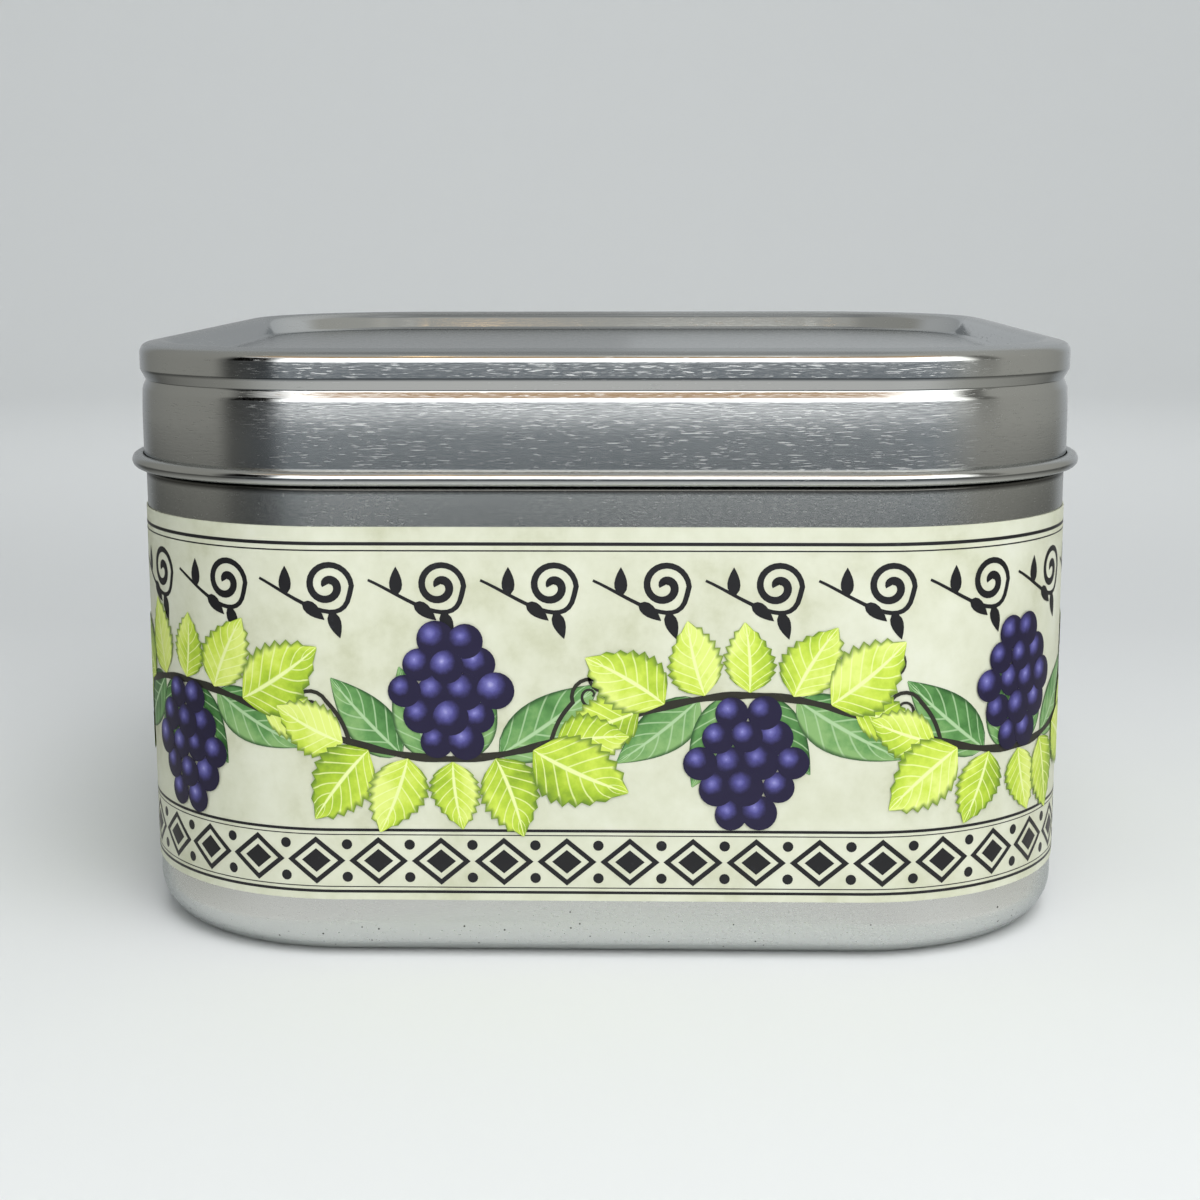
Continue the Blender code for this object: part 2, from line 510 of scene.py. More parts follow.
def draw_leaf(name, length, width, rows, tooth, bend):
    """A leaf with its stalk end at the bottom: widest below the middle, pointed, toothed if wished."""
    piece = flat_grid(name, width, length, 8, rows)
    choose("VERT")
    marks = [Vector(item.vector) for item in piece.data.attributes["place"].data]
    for row in range(rows + 1):
        share = row / rows
        chosen = {index for index, mark in enumerate(marks) if abs((mark.y + 1) / 2 - share) < 0.01}
        height = length * (share - 0.5)
        swell = max(0.03, sin(pi * share ** 0.75) ** 0.85)
        shape_row(piece, chosen, swell, (bend * share ** 2, 0.0, length / 2), height)
        if tooth and row % 2 and row < rows - 1:
            edge = {index for index in chosen if abs(marks[index].x) > 0.99}
            shape_row(piece, edge, 1.0 + tooth, (0.0, 0.0, length * 0.03), height)
    return piece


# %% Draw a disc and a ribbon


def draw_disc(name, radius, sides, rings):
    """A disc that faces the viewer, in rings."""
    deselect()
    bpy.ops.mesh.primitive_circle_add(
        vertices=sides, radius=radius, fill_type="NGON", rotation=(radians(90), 0.0, 0.0)
    )
    piece = bpy.context.active_object
    piece.name = name
    bpy.ops.object.transform_apply(location=True, rotation=True, scale=True)
    edit()
    select_all()
    for _ in range(rings):
        bpy.ops.mesh.inset(thickness=radius / (rings + 1) * 0.97)
    leave()
    mark_place(piece, radius, radius)
    return piece


def draw_ribbon(name, line, widths):
    """A flat ribbon along a line of (way round, height), bridged between its two traced edges."""
    edges = ([], [])
    for index, spot in enumerate(line):
        ahead = Vector(line[min(index + 1, len(line) - 1)]) - Vector(line[max(index - 1, 0)])
        across = Vector((-ahead.y, ahead.x)).normalized() * widths[index] / 2
        edges[0].append((spot[0] + across.x, 0.0, spot[1] + across.y))
        edges[1].append((spot[0] - across.x, 0.0, spot[1] - across.y))
    upper = trace(name, edges[0])
    trace(name + "_other_edge", edges[1])
    leave()
    upper.select_set(True)
    bpy.context.view_layer.objects.active = upper
    bpy.ops.object.join()
    edit()
    select_all()
    bpy.ops.mesh.bridge_edge_loops()
    select_all()
    bpy.ops.mesh.normals_make_consistent(inside=False)
    leave()
    turn_to_viewer(upper.data.polygons[0])
    mark_place(upper, 1.0, 1.0)
    return upper


# %% Copy the motifs and gather the copies


def copy_to(master, spot, size=1.0, turn=0.0, seed=0.0, level=1, flip=False):
    """A copy of a motif on the flat drawing, with its own mesh, its size, turn and ink level."""
    copy = master.copy()
    copy.data = master.data.copy()
    bpy.context.scene.collection.objects.link(copy)
    place = Matrix.Translation((spot[0], -level * FILM_STEP, spot[1]))
    grown = Matrix.Diagonal((-size if flip else size, 1.0, size, 1.0))
    copy.data.transform(place @ Matrix.Rotation(turn, 4, "Y") @ grown)
    if flip:
        copy.data.flip_normals()
    for item in copy.data.attributes["place"].data:
        item.vector = (item.vector[0], item.vector[1], seed)
    return copy


def gather(name, copies, masters=()):
    """Joins copies to one piece and clears away what they were copied from."""
    deselect()
    for copy in copies:
        copy.select_set(True)
    bpy.context.view_layer.objects.active = copies[0]
    bpy.ops.object.join()
    copies[0].name = name
    copies[0].data.name = name
    for master in masters:
        bpy.data.objects.remove(master, do_unlink=True)
    return copies[0]


# %% [markdown]
# ## The vine
# Six waves of the vine go round the tin. From each crest and each trough hangs or stands a bunch of
# berries, with plain dark leaves behind it and toothed bright ones outside. Sizes and turns vary a
# little from copy to copy, from a seeded choice, so that the print never looks stamped.

# %% Draw one wave of the vine
WAVES = 6
WAVE = PERIMETER / WAVES
VINE_HEIGHT = 25.0 * MM
VINE_SWING = 3.4 * MM
BRIGHT_SPREAD = 0.62
DARK_SPREAD = 0.6
BERRY_RADIUS = 1.8 * MM
BERRY_PITCH = 1.72
ROW_PITCH = 1.5

chance = random.Random(11)


def vine_height(way):
    """The vine's height at that way round."""
    return VINE_HEIGHT + VINE_SWING * sin(2 * pi * way / WAVE)


VINE_STEPS = 72
ways = [WAVE * step / VINE_STEPS for step in range(VINE_STEPS + 1)]
vine_line = [(way, vine_height(way)) for way in ways]
vine_widths = [(0.75 + 0.15 * sin(step * 0.9)) * MM for step in range(VINE_STEPS + 1)]
vine_widths[-1] = vine_widths[0]
vine_wave = draw_ribbon("vine_wave", vine_line, vine_widths)
print("vine:", WAVES, "waves of", round(WAVE / MM, 1), "mm")

# %% Draw the tendril, the leaves and the berry


def spiral(radius, turns, steps, taper):
    """A line that curls in on itself, and its widths, ending at the origin's side."""
    line = []
    widths = []
    for step in range(steps + 1):
        share = step / steps
        reach = radius * (1 - share) ** 0.8 + 0.12 * MM
        angle = 2 * pi * turns * share
        line.append((reach * cos(angle) - radius, reach * sin(angle)))
        widths.append(taper[0] + (taper[1] - taper[0]) * share)
    return line, widths


curl_line, curl_widths = spiral(1.9 * MM, 1.6, 30, (0.42 * MM, 0.22 * MM))
curl = draw_ribbon("tendril", curl_line, curl_widths)
stalk_line = [(0.35 * MM * sin(pi * step / 8), step * 0.62 * MM) for step in range(9)]
stalk = draw_ribbon("stalk", stalk_line, [0.45 * MM] * 9)
toothed = draw_leaf("toothed_leaf", 9.8 * MM, 6.5 * MM, 18, 0.17, 1.2 * MM)
plain = draw_leaf("plain_leaf", 11.0 * MM, 5.2 * MM, 14, 0.0, -1.1 * MM)
berry = draw_disc("berry", BERRY_RADIUS, 24, 2)
print("leaves: toothed and plain, berries", BERRY_RADIUS * 2 / MM, "mm across")

# %% Let the vine grow
BRIGHT_LEAVES = (  # millimetres along the vine, turn in degrees, size
    (-17.8, -106, 0.76), (-13.6, -52, 1.0), (-7.0, -22, 0.86), (0.4, 4, 0.74),
    (7.6, 27, 0.88), (13.8, 55, 1.04), (17.6, 104, 0.74),
)
DARK_LEAVES = ((-8.2, -128, 1.0), (8.4, 127, 1.05), (-3.0, -158, 0.85), (2.6, 161, 0.8))
BUNCH_ROWS = (2, 3, 4, 3, 2)

stems = [copy_to(vine_wave, (wave * WAVE - PERIMETER / 2, 0.0), level=4) for wave in range(WAVES)]
bright = []
dark = []
berries = []

for bunch in range(WAVES * 2):
    crest = -PERIMETER / 2 + WAVE * (0.25 + bunch * 0.5)
    way_up = 1 if bunch % 2 == 0 else -1
    top = vine_height(crest)
    for place, (sway, turn, size) in enumerate(BRIGHT_LEAVES):
        root = crest + sway * MM * BRIGHT_SPREAD
        lean = radians(turn + chance.uniform(-9, 9))
        grown = size * chance.uniform(0.92, 1.06)
        foot = vine_height(root)
        swing = lean if way_up > 0 else pi - lean
        spot = (root, foot + way_up * 0.3 * MM)
        layer = 7 + place % 3 + 3 * (bunch % 2)
        flip = place % 2 == 1
        bright.append(copy_to(toothed, spot, grown, swing, chance.random(), layer, flip))
    for place, (sway, turn, size) in enumerate(DARK_LEAVES):
        root = crest + sway * MM * DARK_SPREAD
        lean = radians(turn + chance.uniform(-7, 7))
        swing = lean if way_up > 0 else pi - lean
        spot = (root, vine_height(root))
        grown = size * chance.uniform(0.95, 1.1)
        layer = 3 if place in (1, 2) else 2
        flip = place % 2 == 0
        dark.append(copy_to(plain, spot, grown, swing, chance.random(), layer, flip))
    for row, count in enumerate(BUNCH_ROWS):
        for berry_place in range(count):
            across = (berry_place - (count - 1) / 2) * BERRY_RADIUS * BERRY_PITCH
            down = 1.7 * MM + row * BERRY_RADIUS * ROW_PITCH
            spot = (
                crest + across + chance.uniform(-0.25, 0.25) * MM,
                top - way_up * (down + chance.uniform(-0.2, 0.2) * MM),
            )
            layer = (2 * berry_place - count + 1 + 3 * row + 1) // 2 % 3
            size = chance.uniform(0.9, 1.08)
            berries.append(copy_to(berry, spot, size, 0.0, chance.random(), level=13 + layer))
    for sway, flip in ((-WAVE * 0.17, False), (WAVE * 0.17, True)):
        root = crest + sway
        spot = (root, vine_height(root))
        stems.append(copy_to(stalk, spot, 1.0, 0.5 if flip else -0.5, level=5, flip=flip))
        tip = (root + (2.4 if flip else -2.4) * MM, vine_height(root) + 4.2 * MM)
        stems.append(copy_to(curl, tip, 1.0, -0.4, level=6, flip=flip))

print_vine = gather("print_vine", stems, (vine_wave, curl, stalk))
print_bright_leaves = gather("print_bright_leaves", bright, (toothed,))
print_dark_leaves = gather("print_dark_leaves", dark, (plain,))
print_berries = gather("print_berries", berries, (berry,))
for film in (print_vine, print_bright_leaves, print_dark_leaves, print_berries):
    bend_round(film)

# %% [markdown]
# ## The borders
# The borders are near-black line work: two rules and a running scroll along the top, and at the
# bottom a band of lozenges with a dot in each gap, between two pairs of rules. A lozenge is a grid
# turned onto its corner, with a ring of its cells taken out.

# %% Draw a lozenge
SCROLLS = 32
LOZENGES = 56
SCROLL_PITCH = PERIMETER / SCROLLS
LOZENGE_PITCH = PERIMETER / LOZENGES
BAND_HEIGHT = 10.7 * MM
BAND_HALF = 2.55 * MM


def draw_lozenge(name, wide, tall, cells):
    """A lozenge with an open ring inside its edge."""
    piece = flat_grid(name, 1.0, 1.0, cells, cells)
    marks = [face.center.copy() * cells for face in piece.data.polygons]
    choose("FACE")
    for face, mark in zip(piece.data.polygons, marks):
        ring = max(abs(mark.x), abs(mark.z))
        face.select = cells / 2 - 2 < ring < cells / 2 - 1
    edit()
    bpy.ops.mesh.delete(type="FACE")
    bpy.ops.mesh.select_mode(type="VERT")
    select_all()
    bpy.ops.transform.rotate(value=radians(45), orient_axis="Y", center_override=(0.0, 0.0, 0.0))
    bpy.ops.transform.resize(value=(wide / 2 ** 0.5, 1.0, tall / 2 ** 0.5))
    leave()
    return piece


print("borders:", SCROLLS, "scrolls and", LOZENGES, "lozenges")

# %% Lay the borders
scroll_line, scroll_widths = spiral(2.35 * MM, 1.4, 36, (0.55 * MM, 0.95 * MM))
tail_ends = (Vector((-9.6, 0.6)), Vector((-6.0, -1.0)), Vector((-0.2, -5.6)), Vector((0.0, 0.0)))
tail_line = [tuple(spot * MM) for spot in interpolate_bezier(*tail_ends, 17)[:-1]]
tail_widths = [(0.28 + 0.017 * step) * MM for step in range(16)]
scroll = draw_ribbon("scroll", tail_line + scroll_line, tail_widths + scroll_widths)
lozenge = draw_lozenge("lozenge", LOZENGE_PITCH * 0.94, BAND_HALF * 2, 8)
dot = draw_disc("dot", 0.55 * MM, 14, 0)
leaflet = draw_leaf("leaflet", 3.2 * MM, 1.5 * MM, 6, 0.0, 0.5 * MM)

RULES = ((43.9, 0.35), (43.2, 0.14), (14.0, 0.3), (13.5, 0.1), (7.9, 0.1), (7.4, 0.3))
SCROLL_HEIGHT = 39.6 * MM
SCROLL_SHIFT = 3.4 * MM

strips = [flat_grid("rule", PERIMETER, tall * MM, 400, 1) for _, tall in RULES]
lines = [copy_to(strip, (0.0, height * MM)) for strip, (height, _) in zip(strips, RULES)]
for turn in range(SCROLLS):
    way = (turn + 0.5) * SCROLL_PITCH - PERIMETER / 2 + SCROLL_SHIFT
    lines.append(copy_to(scroll, (way, SCROLL_HEIGHT)))
    for lean, step in ((-12, 4), (118, 6), (150, 10)):
        spot = (way + tail_line[step][0], SCROLL_HEIGHT + tail_line[step][1])
        lines.append(copy_to(leaflet, spot, 0.9, radians(lean), level=2))
for turn in range(LOZENGES):
    way = (turn + 0.5) * LOZENGE_PITCH - PERIMETER / 2
    lines.append(copy_to(lozenge, (way, BAND_HEIGHT)))
    for height in (-1, 1):
        lines.append(copy_to(dot, (way + LOZENGE_PITCH / 2, BAND_HEIGHT + height * 1.75 * MM)))
print_borders = gather("print_borders", lines, (*strips, scroll, lozenge, dot, leaflet))
bend_round(print_borders)

# %% [markdown]
# ## Colours and nodes
# Colours are written as the sRGB hex values that an eye would pick from a picture, and turned to
# linear light once, here. One small function adds any node. Each input is either a fixed value or the
# output of another node. The rest are short forms of the nodes that come up most, so that a material
# below reads from top to bottom as the order in which its layers were put on.

# %% Colours, materials and nodes


def linear(hex_colour):
    """The linear colour of an sRGB hex value."""
    parts = [int(hex_colour[place:place + 2], 16) / 255 for place in (1, 3, 5)]
    curve = [part / 12.92 if part <= 0.04045 else ((part + 0.055) / 1.055) ** 2.4 for part in parts]
    return (*curve, 1.0)


def new_material(name):
    """A material and its tree, with the shader that it starts with."""
    made = bpy.data.materials.new(name)
    made.use_nodes = True
    return made, made.node_tree, made.node_tree.nodes["Principled BSDF"]


def give(tree, node, inputs):
    """Gives a node its inputs, each a fixed value or another node's output."""
    for socket, value in inputs.items():
        if isinstance(value, bpy.types.NodeSocket):
            tree.links.new(value, node.inputs[socket])
        else:
            node.inputs[socket].default_value = value


def add(tree, kind, settings, inputs):
    """Adds a node with its settings and its inputs."""
    node = tree.nodes.new(kind)
    for setting, value in settings.items():
        setattr(node, setting, value)
    give(tree, node, inputs)
    return node


# %% Short forms of common nodes


def work_out(tree, operation, *sides):
    """One step of arithmetic on numbers and outputs."""
    return add(tree, "ShaderNodeMath", {"operation": operation}, dict(enumerate(sides))).outputs[0]


def span(tree, value, start, end, low=0.0, high=1.0, kind="SMOOTHSTEP"):
    """A number carried from the span of start to end over to the span of low to high."""
    inputs = {"Value": value, "From Min": start, "From Max": end, "To Min": low, "To Max": high}
    return add(tree, "ShaderNodeMapRange", {"interpolation_type": kind}, inputs).outputs[0]


def noise(tree, place, scale, detail, roughness=0.5):
    """Soft noise from 0 to 1."""
    inputs = {"Vector": place, "Scale": scale, "Detail": detail, "Roughness": roughness}
    return add(tree, "ShaderNodeTexNoise", {}, inputs).outputs["Fac"]


def mixed(tree, share, first, second):
    """Two colours, with that share of the second."""
    sides = {0: share, 6: first, 7: second}
    return add(tree, "ShaderNodeMix", {"data_type": "RGBA"}, sides).outputs[2]


def split(tree, vector):
    """The three numbers of a vector."""
    return add(tree, "ShaderNodeSeparateXYZ", {}, {"Vector": vector}).outputs


def distance(tree, across, up):
    """How far a point is from the middle, from its two numbers."""
    flat = add(tree, "ShaderNodeCombineXYZ", {}, {"X": across, "Y": up}).outputs[0]
    return add(tree, "ShaderNodeVectorMath", {"operation": "LENGTH"}, {0: flat}).outputs["Value"]


def bumped(tree, height, depth):
    """A normal that follows a fine relief of that depth."""
    inputs = {"Strength": 0.3, "Distance": depth, "Height": height}
    return add(tree, "ShaderNodeBump", {}, inputs).outputs["Normal"]


def ramp(tree, share, stops):
    """A colour read off a ramp of stops: (place, hex colour)."""
    node = add(tree, "ShaderNodeValToRGB", {}, {"Fac": share})
    band = node.color_ramp.elements
    band.remove(band[-1])
    band[0].position = stops[0][0]
    band[0].color = linear(stops[0][1])
    for place, colour in stops[1:]:
        band.new(place).color = linear(colour)
    return node.outputs["Color"]


def object_place(tree):
    """Where a point lies on its piece, in metres."""
    return add(tree, "ShaderNodeTexCoord", {}, {}).outputs["Object"]


# %% [markdown]
# ## Tinplate
# Tinplate is cold-rolled steel with a bright coat of tin about a thousandth of a millimetre thick. It
# mirrors softly: the rolled steel under the coat has a fine grain, which smears what it mirrors, and
# handling leaves hairline scratches along the sides. A scratch is a rough groove, so it catches light
# from everywhere and shows as a bright thread in a dark reflection.
#
# Grain and scratches are stretched noise. On the walls the grooves run level, so the noise is
# squeezed along Z. On the flats it is squeezed along Y. The surface's own normal says which of the
# two applies. The real grain is about 0.05 mm wide, too fine to show, so it is drawn coarser.

# %% Grooves for the tinplate
SCRATCH_WIDTH = 0.13 * MM
SCRATCH_LENGTH = 1.9 * MM


def stretched(tree, place, flatness, length, width, tilt):
    """Coordinates that run level along the walls, and along X on the flats, stretched to a groove."""
    along = 1 / length
    across = 1 / width
    wall = {"Vector": place, "Scale": (along, along, across), "Rotation": (tilt, tilt, 0.0)}
    flat = {"Vector": place, "Scale": (along, across, along), "Rotation": (0.0, 0.0, tilt)}
    on_wall = add(tree, "ShaderNodeMapping", {}, wall).outputs[0]
    on_flat = add(tree, "ShaderNodeMapping", {}, flat).outputs[0]
    sides = {0: flatness, 4: on_wall, 5: on_flat}
    return add(tree, "ShaderNodeMix", {"data_type": "VECTOR"}, sides).outputs[1]


def scratches(tree, grooves, low, high):
    """A mask of short grooves: the peaks of stretched noise."""
    return span(tree, noise(tree, grooves, 1.0, 1.0), low, high)


# %% [markdown]
# ## What dulls the tin
# The roughness follows the height, because the press polishes the bends and leaves the walls duller.
# A curve node holds it: each point is a height with its roughness. Dust sits low down as specks, the
# centres of a few cells of a Voronoi pattern. Under the lid's curl a band of painted shade darkens the
# wall.

# %% Dullness, dust and painted shade under the curl
SPECKS_PER_METRE = 1000.0
DUST_FULL_HEIGHT = 2.4 * MM


def dulled_by_height(tree, height, dulling):
    """Roughness by height, from pairs of height in millimetres and roughness."""
    level = span(tree, height, 0.0, HEIGHT, kind="LINEAR")
    dulled = add(tree, "ShaderNodeFloatCurve", {}, {"Value": level})
    curve = dulled.mapping.curves[0]
    curve.points[0].location = (0.0, dulling[0][1])
    curve.points[1].location = (1.0, dulling[-1][1])
    for spot, value in dulling:
        curve.points.new(spot * MM / HEIGHT, value)
    for point in curve.points:
        point.handle_type = "VECTOR"
    dulled.mapping.update()
    return dulled.outputs[0]


def dust(tree, place, height, top):
    """A mask of dark specks, more of them lower down and none above the top."""
    cells = {"Vector": place, "Scale": SPECKS_PER_METRE}
    specks = add(tree, "ShaderNodeTexVoronoi", {}, cells).outputs
    speck = span(tree, specks["Distance"], 0.14, 0.07)
    share = span(tree, height, DUST_FULL_HEIGHT, top, 0.42, 0.0, "LINEAR")
    lot = add(tree, "ShaderNodeSeparateColor", {}, {"Color": specks["Color"]}).outputs[0]
    return work_out(tree, "MULTIPLY", speck, work_out(tree, "LESS_THAN", lot, share))


def painted_curl_shade(tree, height, foot, top):
    """A mask of painted shade under the lid's curl, rising from its foot to its top."""
    return span(tree, height, foot, top, 0.0, 0.9)


# %% [markdown]
# ## Putting the tinplate together
# Roughness is the curve by height, plus a little for each layer: the flats, slow patches, the grain
# and the scratches. The same scratches, with the grain, give the relief. The colour is one grey
# nearly all over, darkened by dust specks and by painted shade under the lid's curl.

# %% Mix the tinplate
# The band of painted shade on the body, just under the lid's curl.
CURL_SHADE_FOOT = 48.7 * MM
CURL_SHADE_TOP = 49.3 * MM


def tinplate(name, colour, dulling, grain_size, wear, dusty_and_shaded):
    """Bright tinplate. Grain has a length and a width, wear is how much the scratches show."""
    made, tree, shader = new_material(name)
    place = object_place(tree)
    height = split(tree, place)["Z"]
    normal = add(tree, "ShaderNodeNewGeometry", {}, {}).outputs["Normal"]
    flatness = span(tree, work_out(tree, "ABSOLUTE", split(tree, normal)["Z"]), 0.6, 0.85)
    grain = noise(tree, stretched(tree, place, flatness, *grain_size, 0.0), 1.0, 1.0)
    rising = stretched(tree, place, flatness, SCRATCH_LENGTH, SCRATCH_WIDTH, radians(4))
    falling = stretched(tree, place, flatness, SCRATCH_LENGTH * 0.7, SCRATCH_WIDTH * 0.9, radians(-3))
    pair = (scratches(tree, rising, 0.62, 0.78), scratches(tree, falling, 0.64, 0.80))
    patches = noise(tree, place, 48.0, 3.0, 0.6)
    worn = span(tree, patches, 0.36, 0.62, 0.5 * wear, wear)
    shown = work_out(tree, "MULTIPLY", work_out(tree, "MAXIMUM", *pair), worn)

    rough = dulled_by_height(tree, height, dulling)
    for layer, weight in ((flatness, 0.14), (patches, 0.05), (grain, 0.12), (shown, 0.26)):
        rough = work_out(tree, "MULTIPLY_ADD", layer, weight, rough)
    relief = work_out(tree, "MULTIPLY_ADD", shown, -1.0, grain)
    tone = linear(colour)
    # Dust specks are dirt. The band under the curl is painted shade. Both darken the colour to one dark
    # grey.
    if dusty_and_shaded:
        shade_under_curl = painted_curl_shade(tree, height, CURL_SHADE_FOOT, CURL_SHADE_TOP)
        dust_and_curl_shade = work_out(tree, "MAXIMUM", dust(tree, place, height, LABEL_BOTTOM), shade_under_curl)
        tone = mixed(tree, dust_and_curl_shade, linear(colour), linear("#3a3833"))
    normal = bumped(tree, relief, 0.008 * MM)
    give(tree, shader, {"Base Color": tone, "Roughness": rough, "Normal": normal})
    give(tree, shader, {"Metallic": 1.0, "Specular Tint": linear("#d6d8da")})
    return made


BODY_DULLING = ((0.0, 0.17), (6.0, 0.17), (45.0, 0.16), (63.0, 0.16))
LID_DULLING = ((49.0, 0.03), (51.0, 0.03), (51.6, 0.09), (57.2, 0.09), (58.2, 0.03), (63.0, 0.02))
body_tinplate = tinplate("tinplate_drawn_body", "#d0d2cf", BODY_DULLING, (0.5 * MM, 0.2 * MM), 0.15, True)
lid_tinplate = tinplate("tinplate_drawn_lid", "#c2c4c3", LID_DULLING, (1.3 * MM, 0.17 * MM), 1.0, False)
tin_body.data.materials.append(body_tinplate)
lid.data.materials.append(lid_tinplate)
print("tinplate: scratches", SCRATCH_LENGTH / MM, "mm long and", SCRATCH_WIDTH / MM, "mm wide")

# %% [markdown]
# ## Label paper
# The label is uncoated paper printed with a cream ground. Print on paper is never one flat colour:
# there is a soft mottle a few millimetres across, yellower where it is darker, and a fine tooth from
# the fibres. The paper is dull, so its gloss is low and broad.

# %% Make the paper
FIBRE = 0.35 * MM


def label_paper():
    """Cream printed paper: soft mottle, fine fibres and a matt surface."""
    made, tree, shader = new_material("paper_cream_printed")
    place = object_place(tree)
    mottle = noise(tree, place, 150.0, 6.0, 0.62)
    creams = [(0.25, "#bdbfa1"), (0.45, "#cfd1ba"), (0.62, "#d7d9c5"), (0.8, "#dddfd0")]
    fibres = noise(tree, place, 1 / FIBRE, 3.0, 0.6)
    give(tree, shader, {"Base Color": ramp(tree, mottle, creams), "Roughness": 0.55})
    give(tree, shader, {"Normal": bumped(tree, fibres, 0.02 * MM), "Specular IOR Level": 0.4})
    return made


label.data.materials.append(label_paper())
print("paper: fibres", FIBRE / MM, "mm")

# %% [markdown]
# ## Printing inks
# Offset inks are thin, even and slightly glossier than the paper they sit on. What looks like a
# vein or a highlight is printed too, so it is colour and never relief. The leaves get a pale midrib
# and slanting side veins, a darker rim, and a tone that drifts from leaf to leaf. The berries get a
# pale spot high on the left, a dark edge and a dusty bloom.

# %% Mix the inks


def ink(name):
    """An ink's material, tree and shader, the three numbers of the place attribute, and the place."""
    made, tree, shader = new_material(name)
    give(tree, shader, {"Roughness": 0.42, "Specular IOR Level": 0.4})
    mark = add(tree, "ShaderNodeAttribute", {"attribute_name": "place"}, {}).outputs["Vector"]
    return made, tree, shader, split(tree, mark), object_place(tree)


def leaf_ink(name, tones, vein_colour, rim_colour, veins):
    """A printed leaf: drifting tone, pale midrib and side veins, darker rim."""
    made, tree, shader, mark, place = ink(name)
    drift = noise(tree, place, 420.0, 4.0, 0.6)
    seeded = work_out(tree, "MULTIPLY_ADD", mark["Z"], 0.45, drift)
    halved = work_out(tree, "MULTIPLY_ADD", mark["X"], 0.22, seeded)
    off_middle = work_out(tree, "ABSOLUTE", mark["X"])
    slant = work_out(tree, "MULTIPLY_ADD", off_middle, -0.55, mark["Y"])
    ripple = work_out(tree, "COSINE", work_out(tree, "MULTIPLY", slant, veins * pi))
    side_vein = span(tree, ripple, 0.86, 0.97, 0.0, 0.75)
    midrib = span(tree, off_middle, 0.09, 0.04)
    vein = work_out(tree, "MAXIMUM", side_vein, midrib)
    veined = mixed(tree, vein, ramp(tree, halved, tones), linear(vein_colour))
    rim = span(tree, off_middle, 0.80, 0.98, 0.0, 0.85)
    give(tree, shader, {"Base Color": mixed(tree, rim, veined, linear(rim_colour))})
    return made


def berry_ink(name, tones):
    """A printed berry: pale spot high on the left, dark edge, dusty bloom."""
    made, tree, shader, mark, place = ink(name)
    across = work_out(tree, "ADD", mark["X"], 0.28)
    up = work_out(tree, "SUBTRACT", mark["Y"], 0.32)
    bloom = noise(tree, place, 1500.0, 4.0, 0.7)
    shade = work_out(tree, "MULTIPLY_ADD", bloom, 0.34, distance(tree, across, up))
    seeded = work_out(tree, "MULTIPLY_ADD", mark["Z"], 0.22, shade)
    give(tree, shader, {"Base Color": ramp(tree, seeded, tones)})
    return made


def line_ink(name, thick, thin):
    """Near-black line work that prints a little thinner in places."""
    made, tree, shader, _, place = ink(name)
    press = noise(tree, place, 900.0, 5.0, 0.7)
    give(tree, shader, {"Base Color": ramp(tree, press, [(0.35, thick), (0.6, thick), (0.8, thin)])})
    return made


# %% Ink the films
BRIGHT_GREENS = [(0.25, "#7f9f22"), (0.5, "#a6c42c"), (0.75, "#c6dc48"), (1.0, "#dcea7a")]
DARK_GREENS = [(0.25, "#2f5a2b"), (0.5, "#467a3c"), (0.75, "#5f9350"), (1.0, "#84ad6a")]
VIOLETS = [(0.16, "#a5a3d2"), (0.36, "#7270b4"), (0.62, "#4a4788"), (0.86, "#2f2b58"), (1.0, "#1d1836")]

for film, film_ink in (
    (print_bright_leaves, leaf_ink("ink_leaf_yellow_green", BRIGHT_GREENS, "#e6f0a4", "#5f7f22", 7.0)),
    (print_dark_leaves, leaf_ink("ink_leaf_mid_green", DARK_GREENS, "#a9c898", "#244a24", 6.0)),
    (print_berries, berry_ink("ink_berry_violet", VIOLETS)),
    (print_vine, line_ink("ink_vine_brown_black", "#2b2a22", "#4d4a38")),
    (print_borders, line_ink("ink_line_near_black", "#17171a", "#34343a")),
):
    film.data.materials.append(film_ink)
print("inks: 5 films")

# %% [markdown]
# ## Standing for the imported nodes
# Each fine piece takes the place of the plain solid that it was drawn from. The solid stays in the
# frame for the physics, unseen, and the fine piece rides on the same body.

# %% Ride and replace
for piece, node, slot in (
    (tin_body, "tin_body", "tinplate_body"),
    (lid, "lid", "tinplate_lid"),
    (label, "label", "label_paper"),
):
    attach(piece, "root")
    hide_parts(node)
for film in (print_vine, print_bright_leaves, print_dark_leaves, print_berries, print_borders):
    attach(film, "root")

# %% [markdown]
# ## The table and the backdrop
# The tin stands on a plain pale sweep of card. Card that curves up all round, like a wide bowl, has no
# corner anywhere, so it gives a soft ground from whatever side one looks.

# %% Build the sweep
SWEEP_FLOOR = 0.75
SWEEP_BEND = 0.45
SWEEP_HEIGHT = 1.3


def revolve(name, section, steps):
    """A section in the XZ plane, spun once round the upright axis."""
    piece = trace(name, section)
    select_all()
    bpy.ops.mesh.spin(steps=steps, angle=2 * pi, center=(0.0, 0.0, 0.0), axis=(0.0, 0.0, 1.0))
    select_all()
    bpy.ops.mesh.remove_doubles(threshold=0.1 * MM)
    bpy.ops.mesh.normals_make_consistent(inside=True)
    leave()
    bpy.ops.object.shade_smooth()
    return piece


bend = arc((SWEEP_FLOOR, SWEEP_BEND), SWEEP_BEND, -90, 0)
sweep_line = [(0.0, 0.0, 0.0), (0.25, 0.0, 0.0)]
sweep_line += [(out, 0.0, up) for out, up in bend]
sweep_line += [(SWEEP_FLOOR + SWEEP_BEND, 0.0, SWEEP_HEIGHT)]
sweep = revolve("backdrop_sweep", sweep_line, 96)

card, card_tree, card_shader = new_material("card_pale_grey")
matt_grey = {"Base Color": linear("#e4e6e6"), "Roughness": 0.85, "Specular IOR Level": 0.0}
give(card_tree, card_shader, matt_grey)
sweep.data.materials.append(card)
print("sweep:", len(sweep.data.polygons), "faces")

